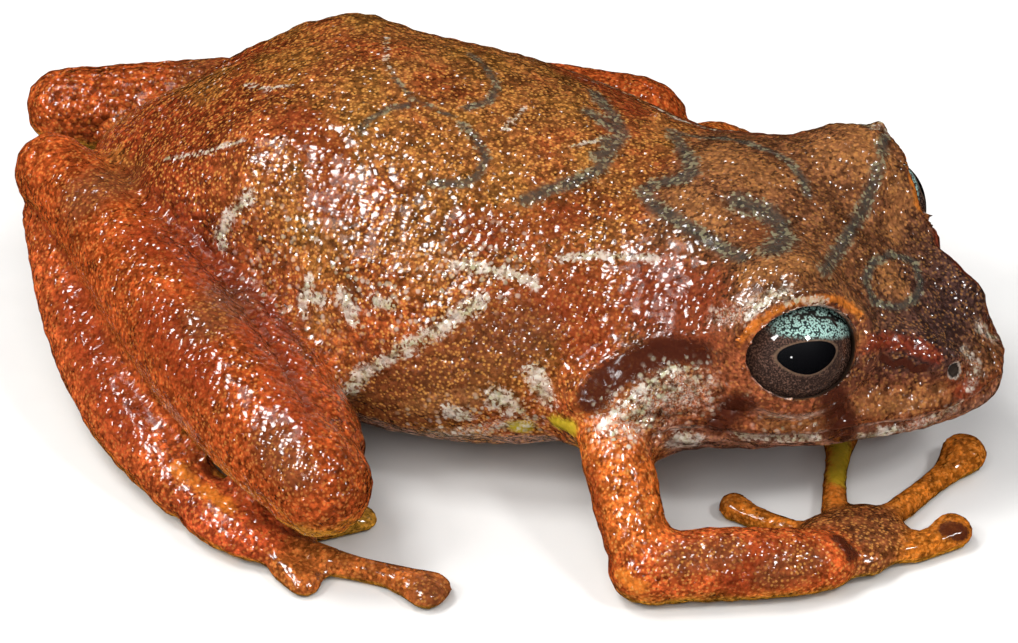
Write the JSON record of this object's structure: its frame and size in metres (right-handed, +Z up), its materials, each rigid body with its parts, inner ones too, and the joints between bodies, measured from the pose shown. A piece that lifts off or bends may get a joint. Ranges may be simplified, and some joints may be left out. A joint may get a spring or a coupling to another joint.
{
  "type": "apradatepui rain frog",
  "caption": "Small orange-brown rain frog at rest on folded hind legs, right hand spread flat before it, granular moist skin and large dark eyes.",
  "frame": {"origin": "middle of the bounding box's base, on the floor", "axes": "+X along the head's line of sight, +Y the frog's left side, +Z up"},
  "size_m": [0.0406, 0.0306, 0.0124],
  "materials": {
    "back_skin": "moist, finely granular, mottled ochre",
    "head_skin": "moist, finely granular, mottled brown",
    "leg_skin": "moist, granular, orange-red with brown bands",
    "arm_skin": "moist, finely granular orange",
    "digit_skin": "moist, smooth, yellow-orange",
    "eye_gloss": "wet, glossy"
  },
  "bodies": {
    "root": {"torso": "back_skin", "head": "head_skin", "eye_right": "eye_gloss", "eye_left": "eye_gloss", "thigh_right": "leg_skin", "shank_right": "leg_skin", "tarsus_right": "leg_skin", "foot_right": "leg_skin", "thigh_left": "leg_skin", "shank_left": "leg_skin", "tarsus_left": "leg_skin", "foot_left": "leg_skin", "upper_arm_right": "arm_skin", "forearm_right": "arm_skin", "hand_right": "arm_skin", "upper_arm_left": "arm_skin", "forearm_left": "arm_skin", "hand_left": "arm_skin", "finger_1_right": "digit_skin", "finger_2_right": "digit_skin", "finger_3_right": "digit_skin", "finger_4_right": "digit_skin", "finger_1_left": "digit_skin", "finger_2_left": "digit_skin", "finger_3_left": "digit_skin", "finger_4_left": "digit_skin", "toe_1_right": "digit_skin", "toe_2_right": "digit_skin", "toe_3_right": "digit_skin", "toe_4_right": "digit_skin", "toe_5_right": "digit_skin", "toe_1_left": "digit_skin", "toe_2_left": "digit_skin", "toe_3_left": "digit_skin", "toe_4_left": "digit_skin", "toe_5_left": "digit_skin"}
  },
  "joints": []
}
